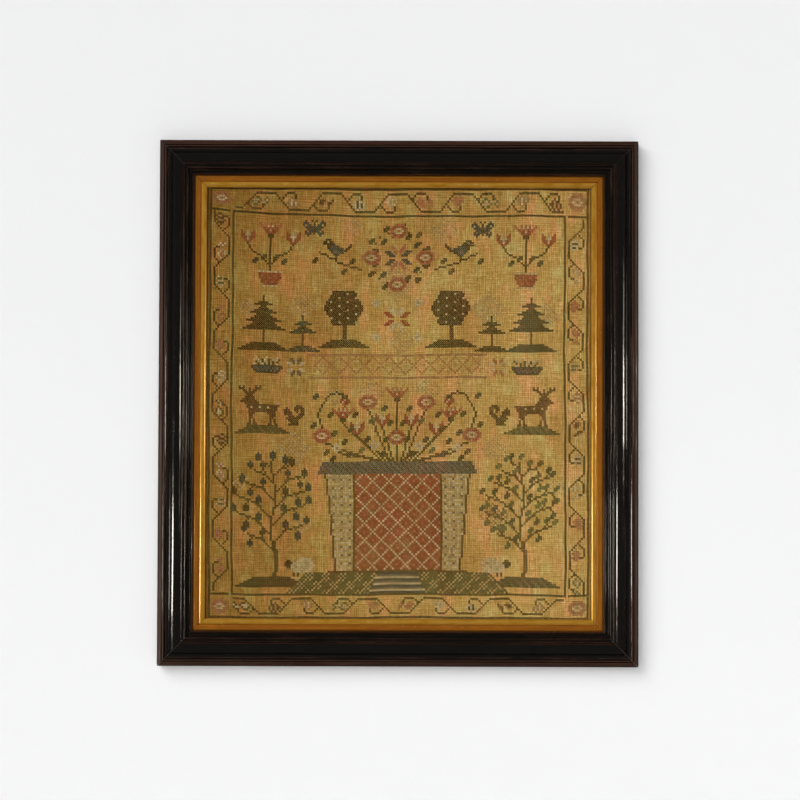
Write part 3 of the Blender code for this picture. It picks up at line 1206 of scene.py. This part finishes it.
def make_room():
    """A pale wall just behind the picture, and a pale floor."""
    for name, size, place, turn in (("wall", (6.0, 3.6), (0.0, WALL_GAP, 0.8), (90.0, 0.0, 0.0)),
                                    ("floor", (6.0, 6.0), (0.0, -0.5, -1.0), (0.0, 0.0, 0.0))):
        shape = bmesh.new()
        bmesh.ops.create_grid(shape, x_segments=1, y_segments=1, size=0.5)
        mesh = bpy.data.meshes.new(name)
        shape.to_mesh(mesh)
        shape.free()
        plane = new_object(name, mesh)
        plane.scale = (*size, 1.0)
        plane.location = place
        plane.rotation_euler = [math.radians(a) for a in turn]
        mesh.materials.append(plain_look(name + "_paint", (0.86, 0.86, 0.86), name == "wall"))
        plane.visible_glossy = False
        plane.visible_shadow = name == "floor"


def make_light():
    """Soft even light on everything, and long highlights in the polish."""
    # broad light from far off, which the gloss does not show: name, from where, spread, strength
    for name, where, spread, strength in (("key_upper_left", (-0.76, -1.0, 0.76), 0.76, 2.12),
                                          ("front_fill", (0.1, -1.0, 0.12), 0.5, 0.93),
                                          ("rear_fill", (0.35, 1.0, 0.3), 0.8, 0.9)):
        data = bpy.data.lights.new(name, "SUN")
        data.angle, data.energy = spread, strength
        hang(name, data, where).visible_glossy = False
    # windows that show only in the gloss: name, where, width, height, watts, colour
    warm, plain_white = (1.0, 0.92, 0.84), (1.0, 0.99, 0.97)
    for name, where, width, height, watts, colour in (
            ("right_window", (1.75, -1.00, 0.05), 0.55, 0.18, 9.0, warm),
            ("high_window", (1.75, -1.00, 0.23), 0.55, 0.12, 0.9, warm),
            ("low_left_window", (-1.7, -1.08, -0.27), 0.65, 0.22, 14.0, plain_white)):
        data = bpy.data.lights.new(name, "AREA")
        data.shape = "RECTANGLE"
        data.size, data.size_y = width, height
        data.energy, data.color = watts, colour
        hang(name, data, where).visible_diffuse = False


def make_sky():
    """A faint pale light all round, a little dimmer in the gloss."""
    world = bpy.data.worlds.new("studio")
    world.use_nodes = True
    bpy.context.scene.world = world
    tree = world.node_tree
    plain, dim = tree.nodes["Background"], tree.nodes.new("ShaderNodeBackground")
    for light, strength in ((plain, 0.1), (dim, 0.09)):
        light.inputs["Color"].default_value = (0.95, 0.97, 1.0, 1.0)
        light.inputs["Strength"].default_value = strength
    both = tree.nodes.new("ShaderNodeMixShader")
    path = tree.nodes.new("ShaderNodeLightPath")
    tree.links.new(path.outputs["Is Glossy Ray"], both.inputs[0])
    tree.links.new(plain.outputs[0], both.inputs[1])
    tree.links.new(dim.outputs[0], both.inputs[2])
    tree.links.new(both.outputs[0], tree.nodes["World Output"].inputs["Surface"])


def make_camera():
    """A long lens a little below the picture's middle, looking up at it."""
    data = bpy.data.cameras.new("camera")
    data.sensor_width = SENSOR_WIDTH
    data.lens = SENSOR_WIDTH * VIEW_DISTANCE / VIEW_WIDTH
    camera = new_object("camera", data)
    picture = Vector((0.0, VIEW_FACE, CENTRE_Z))
    camera.location = picture + VIEW_DISTANCE * Vector((0.0, -math.cos(VIEW_RISE), -math.sin(VIEW_RISE)))
    aim = picture + Vector((VIEW_AIM[0], 0.0, VIEW_AIM[1])) - camera.location
    turn = aim.to_track_quat("-Z", "Y").to_matrix() @ Matrix.Rotation(VIEW_ROLL, 3, "Z")
    camera.rotation_euler = turn.to_euler()
    bpy.context.scene.camera = camera
    bpy.context.scene.view_settings.view_transform = "Standard"


make_room()
make_light()
make_sky()
make_camera()
moulding("rail", RAIL_PROFILE, 0.3, ebonised_look(), 0.09)
moulding("slip", SLIP_PROFILE, 0.25, gilt_look(), 0.05)
needlework(make_cloth(cloth_look()))
board = frame["nodes"]["backboard"].data.materials
board.clear()
board.append(board_look())
